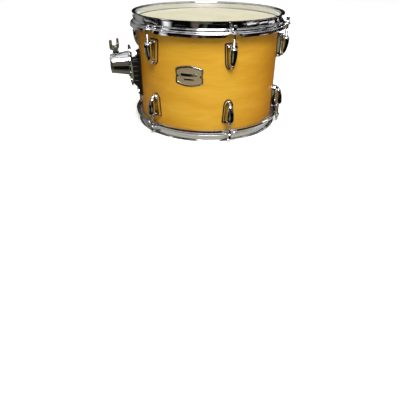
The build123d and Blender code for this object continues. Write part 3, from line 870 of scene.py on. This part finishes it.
root_x, lip_x = plate_front_r + 3.2 * mm, barrel_end_x - 3.6 * mm
barrel_side = soften([
    (bead_r, plate_front_r - 0.2 * mm), (bead_r, root_x - 0.6 * mm), (taper(root_x), root_x),
    (taper(lip_x), lip_x), (taper(lip_x + 0.2 * mm) + 0.5 * mm, lip_x + 0.6 * mm),
    (barrel_mouth_r + 0.3 * mm, barrel_end_x), (15 * mm, barrel_end_x)], 0.9 * mm, 4, closed=False)
barrel_outline = [
    (hexagon(bush_flat), bore_end_x), (hexagon(bush_flat), barrel_end_x - 0.6 * mm),
    (hexagon(bush_flat + 1 * mm), barrel_end_x)]
barrel_outline += barrel_side[::-1] + [(0, plate_front_r - 0.2 * mm), (0, bore_end_x)]
on_axis = at(0, 0, mount_z) @ along_x(0)
barrel = turned("mount_chrome_barrel", barrel_outline, 96, on_axis, closed=False)
boss_top = taper(wing_x) + 1.4 * mm
boss = turned("wing_boss", [
    (4.2 * mm, boss_top - 6 * mm), (4.2 * mm, boss_top), (boss_r - 0.8 * mm, boss_top),
    (boss_r, boss_top - 0.7 * mm), (boss_r + 0.6 * mm, boss_top - 6 * mm)],
    48, at(wing_x, 0, mount_z), closed=False)
barrel = moved(joined("mount_chrome_barrel", barrel, boss), on_mount)
dress(barrel, chrome, "chrome", "mount_barrel")
bush = turned("socket_liner", [
    (hexagon(socket_flat), bore_end_x), (hexagon(socket_flat), barrel_end_x + 0.6 * mm),
    (hexagon(socket_flat + 0.8 * mm), barrel_end_x + 1 * mm),
    (hexagon(bush_flat + 3.4 * mm), barrel_end_x + 1 * mm),
    (hexagon(bush_flat + 4 * mm), barrel_end_x + 0.7 * mm), (hexagon(bush_flat + 4 * mm), barrel_end_x),
    (hexagon(bush_flat - 0.1 * mm), barrel_end_x), (hexagon(bush_flat - 0.1 * mm), bore_end_x)],
    96, on_mount @ on_axis)
dress(bush, black_nylon, "bush_plastic", "socket_bush")

# The clamp: a wing bolt through the barrel's boss presses a steel shoe on the rod of the stand.
# Its two wings sweep up from the hub, over a black collar.
shoe_low, shoe_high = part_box("clamp_shoe")
shoe_outline = rectangle(wing_x - 7 * mm, wing_x + 7 * mm, shoe_low.z, shoe_high.z, 0.8 * mm, 3)
shoe = side_profile("clamp_block", shoe_outline, 4 * mm, 0.5 * mm)
dress(moved(shoe, on_mount), flesh_metal, "bolt_steel", "clamp_shoe", body="clamp_shoe")
collar_low, collar_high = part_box("wing_collar")
wing_low, wing_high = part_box("wing_bolt")
collar_r = (collar_high.x - collar_low.x) / 2
wing_stand = on_mount @ at(wing_x)
collar_outline = rectangle(4.05 * mm, collar_r, collar_low.z, collar_high.z, 0.8 * mm)
collar = turned("wing_seat", collar_outline, 48, wing_stand)
dress(collar, black_nylon, "collar_black", "wing_collar", body="wing_bolt")
hub_low, hub_high = collar_high.z, collar_high.z + 11 * mm
bolt_shank = 3.95 * mm
hub = turned("wing_hub", [
    (0, wing_low.z), (3.4 * mm, wing_low.z), (bolt_shank, wing_low.z + 0.6 * mm), (bolt_shank, hub_low),
    (5 * mm, hub_low), (5.4 * mm, hub_low + 0.5 * mm), (5.2 * mm, hub_high - 2.5 * mm),
    (4.4 * mm, hub_high - 0.8 * mm), (2.6 * mm, hub_high), (0, hub_high)], 48, closed=False)
wing_reach, wing_tip_r = 14.8 * mm, 3.2 * mm
wing_turn, wing_sweep = 48, 12
foot_h, tip_h = hub_low + 0.8 * mm, wing_high.z
wing_loop = [(0, foot_h), (5.4 * mm, foot_h), (11.6 * mm, foot_h + 2.4 * mm), (wing_reach, foot_h + 6 * mm)]
wing_loop += arc((wing_reach - wing_tip_r, tip_h - wing_tip_r), wing_tip_r, wing_tip_r, 0, 180, 10)
wing_loop += [
    (wing_reach - 2 * wing_tip_r, foot_h + 14 * mm), (6.4 * mm, foot_h + 11.2 * mm), (0, foot_h + 10.4 * mm)]
wings = [
    moved(side_profile("wing", soften(wing_loop, 2.4 * mm, 3), 1.8 * mm, 1.2 * mm, 4),
          Matrix.Rotation(radians(turn), 4, "Z"))
    for turn in (wing_turn - wing_sweep, wing_turn + 180 + wing_sweep)]


def cast_nickel(tree, place):
    """Die-cast zinc under dull nickel plate: softer than chrome, with the mould's orange peel."""
    haze = grain(tree, place, 5 * mm)
    return {
        "Base Color": add_node(tree, "ShaderNodeValToRGB", {"Fac": haze}, (
            (0.3, "#8A8B7E"), (0.7, "#ACAC9F"))),
        "Metallic": 0.9, "Roughness": 0.26,
        "Normal": add_node(tree, "ShaderNodeBump", {"Height": haze, "Distance": 0.05 * mm})}


wing_bolt = moved(joined("wing_bolt_cast", hub, *wings), wing_stand)
dress(wing_bolt, finish(cast_nickel), "chrome", "wing_bolt", body="wing_bolt")

# The studio: a plain pale floor, a white room and large soft lamps, with the camera standing a
# little to the right of the badge and looking down on the drum.
azimuth = radians(13.31)
camera_reach, camera_height = 909.96 * mm, 340.76 * mm
tilt, swing, lean = radians(32.98), radians(0.85), radians(0.56)
facing = azimuth + swing
forward = Vector((-sin(facing) * cos(tilt), cos(facing) * cos(tilt), -sin(tilt)))
right = Vector((cos(facing), sin(facing), 0))
up = right.cross(forward)
right, up = right * cos(lean) + up * sin(lean), up * cos(lean) - right * sin(lean)
lens = bpy.data.cameras.new("camera")
lens.sensor_width, lens.lens = 36.0, 34.91
lens.clip_start = 0.01
camera = placed("camera", lens)
camera.matrix_world = at(
    sin(azimuth) * camera_reach, -cos(azimuth) * camera_reach, camera_height) @ Matrix((
        (right.x, up.x, -forward.x, 0), (right.y, up.y, -forward.y, 0),
        (right.z, up.z, -forward.z, 0), (0, 0, 0, 1)))
bpy.context.scene.camera = camera


def lamp(name, place, aim, size, power):
    """A square soft lamp that looks at a point."""
    light = bpy.data.lights.new(name, "AREA")
    light.shape, light.size, light.energy = "SQUARE", size, power
    lit = placed(name, light)
    look = Vector(aim) - Vector(place)
    lit.matrix_world = at(*place) @ look.to_track_quat("-Z", "Y").to_matrix().to_4x4()
    return lit


lamp("key", (0.40, -1.20, 1.50), (0, 0, 0.12), 1.0, 33)
for side in (
        lamp("front_left", (-1.5, -0.9, 0.8), (0, 0, 0.12), 0.9, 1.2),
        lamp("front_right", (1.3, -1.2, 0.7), (0, 0, 0.12), 0.9, 4),
        lamp("back", (0.0, 1.5, 1.6), (0, 0, 0.1), 1.0, 20)):
    side.visible_glossy = False


def sight(tree):
    """1 for the rays that see, by eye, gloss or glass, and 0 for the rays that only light."""
    rays = add_node(tree, "ShaderNodeLightPath", {}).outputs
    eye_or_gloss = add_node(tree, "ShaderNodeMath", {0: rays["Is Camera Ray"], 1: rays["Is Glossy Ray"]},
                            operation="MAXIMUM")
    return add_node(tree, "ShaderNodeMath", {0: eye_or_gloss, 1: rays["Is Transmission Ray"]},
                    operation="MAXIMUM")


def studio_world():
    """White to the eye and to glass, white with grey panels to gloss, and a softer grey as light."""
    world = bpy.data.worlds.new("studio")
    world.use_nodes = True
    tree = world.node_tree
    place = add_node(tree, "ShaderNodeTexCoord", {}).outputs["Generated"]
    panels = add_node(tree, "ShaderNodeValToRGB", {"Fac": grain(tree, place, 0.10, 2.0)}, (
        (0.40, "#6E6E6C"), (0.52, "#FFFFFF")))
    gloss = add_node(tree, "ShaderNodeLightPath", {}).outputs["Is Glossy Ray"]
    settle(tree, tree.nodes["Background"], {
        "Color": add_node(tree, "ShaderNodeMix", {0: gloss, 6: (1, 1, 1, 1), 7: panels}, data_type="RGBA"),
        "Strength": add_node(tree, "ShaderNodeMapRange", {
            "Value": sight(tree), "To Min": 0.22, "To Max": 1.0})})
    return world


bpy.context.scene.world = studio_world()


def floor_paint(tree, place):
    """Matt white paint under the drum, greyer as light beyond it and white to the eye throughout."""
    reach = add_node(tree, "ShaderNodeVectorMath", {0: place}, operation="LENGTH")
    lift = add_node(tree, "ShaderNodeMapRange", {
        "Value": reach, "From Min": 0.24, "From Max": 0.36, "To Min": 0.45, "To Max": 0.85})
    glow = add_node(tree, "ShaderNodeMath", {0: sight(tree), 1: lift}, operation="MULTIPLY")
    return {
        "Base Color": add_node(tree, "ShaderNodeValToRGB", {"Fac": reach}, (
            (0.24, "#F4F2EA"), (0.40, "#A2A2A0"))),
        "Roughness": 0.9, "Specular IOR Level": 0.1, "Emission Color": (1, 1, 1, 1),
        "Emission Strength": glow}


# The dark room that only gloss sees: a wall of flags round the drum and a strip of floor under them,
# with bright gaps, so that chrome and lacquer have something to show.
wall_reach = 0.75
strip_start = 0.158
wall_high, wall_low = 0.95, 0.62
wall_front, front_reach = 0.54, 38
low_reach, low_fade = 24, 10
wall_steps = 72
floor_reach = 6.0
ragged_middle = 0.25
clutter_span = 1.6


def around(*stops):
    """A ramp's stops from (degrees from the badge, hex colour) pairs."""
    return [(0.5 + turn / 360, colour) for turn, colour in stops]


def flags(tree, share):
    """The wall's own colour round the room: black card, grey stretches and open gaps."""
    return add_node(tree, "ShaderNodeValToRGB", {"Fac": share}, around(
        (-142, "#0C0C0D"), (-128, "#8A8A88"), (-104, "#A4A4A2"), (-94, "#7E7E7C"), (-86, "#0A0A0B"),
        (-54, "#0C0C0D"), (-50, "#FFFFFF"), (-42, "#FFFFFF"), (-38, "#0B0B0C"), (-8, "#0B0B0C"),
        (-6, "#7E706A"), (4, "#8A7A72"), (7, "#080809"), (10, "#10110F"), (12, "#59604F"), (15, "#59604F"),
        (17, "#080809"), (50, "#0A0A0B"), (52, "#B8B8B8"), (55, "#101011"), (70, "#241F20"),
        (73, "#C6C6C6"), (76, "#2A2425"), (93, "#121213"), (97, "#FFFFFF"), (100, "#FFFFFF"),
        (104, "#0C0C0D")))


def clutter(tree, level):
    """Things that stand about the room, smaller near the floor: mostly dark, some grey, some open."""
    rise = add_node(tree, "ShaderNodeMath", {0: level["Z"], 1: e}, operation="LOGARITHM")
    drawn_out = add_node(tree, "ShaderNodeCombineXYZ", {"X": level["X"], "Y": level["Y"], "Z": rise})
    blocks = add_node(tree, "ShaderNodeMapping", {"Vector": drawn_out, "Scale": (5, 5, 7)})
    cells = add_node(tree, "ShaderNodeTexVoronoi", {"Vector": blocks, "Scale": 1.0}, distance="CHEBYCHEV")
    pick = add_node(tree, "ShaderNodeSeparateColor", {"Color": cells.outputs["Color"]}).outputs["Red"]
    lift = add_node(tree, "ShaderNodeValToRGB", {"Fac": level["Z"]}, (
        (0.116, "#000000"), (0.128, "#7C7C7C"), (0.146, "#7C7C7C"), (0.160, "#000000"),
        (0.38, "#101010"), (0.46, "#ACACAC")))
    count = add_node(tree, "ShaderNodeMath", {0: pick, 1: lift}, operation="ADD")
    portion = add_node(tree, "ShaderNodeMath", {0: count, 1: clutter_span}, operation="DIVIDE")
    return add_node(tree, "ShaderNodeValToRGB", {"Fac": portion}, (
        (0.20, "#060607"), (0.24, "#40181E"), (0.27, "#0A0A0B"), (0.51, "#0A0A0B"), (0.52, "#3A3C34"),
        (0.56, "#4A4C42"), (0.57, "#FFFFFF")))


def floor_strip(tree, place, share, skirting):
    """The strip of floor: pale rings close to the drum, dark further out, green-grey at the left."""
    reach = add_node(tree, "ShaderNodeVectorMath", {0: place}, operation="LENGTH")
    rings = add_node(tree, "ShaderNodeValToRGB", {"Fac": reach}, (
        (0.158, "#EFEDE6"), (0.1625, "#EAE8DF"), (0.1645, "#8A877B"), (0.168, "#C4C1B3"),
        (0.1715, "#96938A"), (0.1745, "#EAE7DC"), (0.180, "#E6E3D8"), (0.184, "#101010"),
        (0.310, "#0C0C0D")))
    far = add_node(tree, "ShaderNodeMapRange", {"Value": reach, "From Min": 0.30, "From Max": 0.31})
    strip = add_node(tree, "ShaderNodeMix", {0: far, 6: rings, 7: skirting}, data_type="RGBA")
    side = add_node(tree, "ShaderNodeValToRGB", {"Fac": share}, around(
        (-56, "#FFFFFF"), (-34, "#000000"), (130, "#000000"), (160, "#FFFFFF")))
    return add_node(tree, "ShaderNodeMix", {0: side, 6: strip, 7: linear("#5E5F52")}, data_type="RGBA")


def card_paint(tree, place):
    """Black card with grey and open stretches, laid out by the angle from the badge and ragged-edged."""
    level = add_node(tree, "ShaderNodeSeparateXYZ", {"Vector": place}).outputs
    depth = add_node(tree, "ShaderNodeMath", {0: level["Y"], 1: -1.0}, operation="MULTIPLY")
    angle = add_node(tree, "ShaderNodeMath", {0: level["X"], 1: depth}, operation="ARCTAN2")
    ragged = grain(tree, place, (0.25, 0.25, 0.35), 2.0)
    ragged_angle = add_node(tree, "ShaderNodeMath", {0: ragged, 1: 2 * ragged_middle, 2: angle},
                            operation="MULTIPLY_ADD")
    share = add_node(tree, "ShaderNodeMapRange", {
        "Value": ragged_angle, "From Min": ragged_middle - pi, "From Max": ragged_middle + pi})
    crowd = add_node(tree, "ShaderNodeValToRGB", {"Fac": share}, around(
        (-140, "#606060"), (-128, "#383838"), (-98, "#202020"), (-88, "#BCBCBC"), (-60, "#9C9C9C"),
        (-52, "#101010"), (-36, "#101010"), (-30, "#5C5C5C"), (-12, "#383838"), (-6, "#101010"),
        (16, "#101010"), (24, "#484848"), (44, "#585858"), (50, "#FFFFFF"), (140, "#FFFFFF"),
        (150, "#606060")))
    wall = add_node(tree, "ShaderNodeMix", {0: crowd, 6: flags(tree, share), 7: clutter(tree, level)},
                    data_type="RGBA")
    skirting = add_node(tree, "ShaderNodeValToRGB", {"Fac": share}, around(
        (-12, "#080809"), (-7, "#5E6250"), (18, "#6A6E5C"), (24, "#080809")))
    above = add_node(tree, "ShaderNodeMapRange", {"Value": level["Z"], "From Min": 0.092, "From Max": 0.100})
    wall = add_node(tree, "ShaderNodeMix", {0: above, 6: skirting, 7: wall}, data_type="RGBA")
    strip = floor_strip(tree, place, share, skirting)
    on_floor = add_node(tree, "ShaderNodeMath", {0: level["Z"], 1: 2 * mm}, operation="LESS_THAN")
    shade = add_node(tree, "ShaderNodeMix", {0: on_floor, 6: wall, 7: strip}, data_type="RGBA")
    return {
        "Base Color": shade, "Roughness": 0.9, "Specular IOR Level": 0.0,
        "Alpha": add_node(tree, "ShaderNodeMath", {0: shade, 1: 0.9}, operation="LESS_THAN")}


def scenery(name, shape, material):
    """A piece of the studio."""
    mesh = meshed(name, shape)
    mesh.materials.append(material)
    return placed(name, mesh)


card_shape = bmesh.new()
card_rows = []
for k in range(wall_steps):
    turn = azimuth + pi / 2 + 2 * pi * k / wall_steps
    beside = min(k, wall_steps - k) * 360 / wall_steps
    top = wall_low + (wall_high - wall_low) * smooth((beside - low_reach) / low_fade)
    top -= (wall_high - wall_front) * smooth((beside - 180 + front_reach) / low_fade)
    card_rows.append([
        card_shape.verts.new(polar(reach, turn, height))
        for reach, height in ((strip_start, 1 * mm), (wall_reach, 1 * mm), (wall_reach, top))])
skin(card_shape, card_rows)
cards = scenery("cards", card_shape, finish(card_paint))
cards.visible_camera = cards.visible_diffuse = cards.visible_shadow = cards.visible_transmission = False

ground = bmesh.new()
bmesh.ops.create_circle(ground, cap_ends=True, segments=96, radius=floor_reach)
floor = scenery("floor", ground, finish(floor_paint))
floor.location.z = -0.2 * mm

bpy.context.scene.view_settings.view_transform = "Standard"
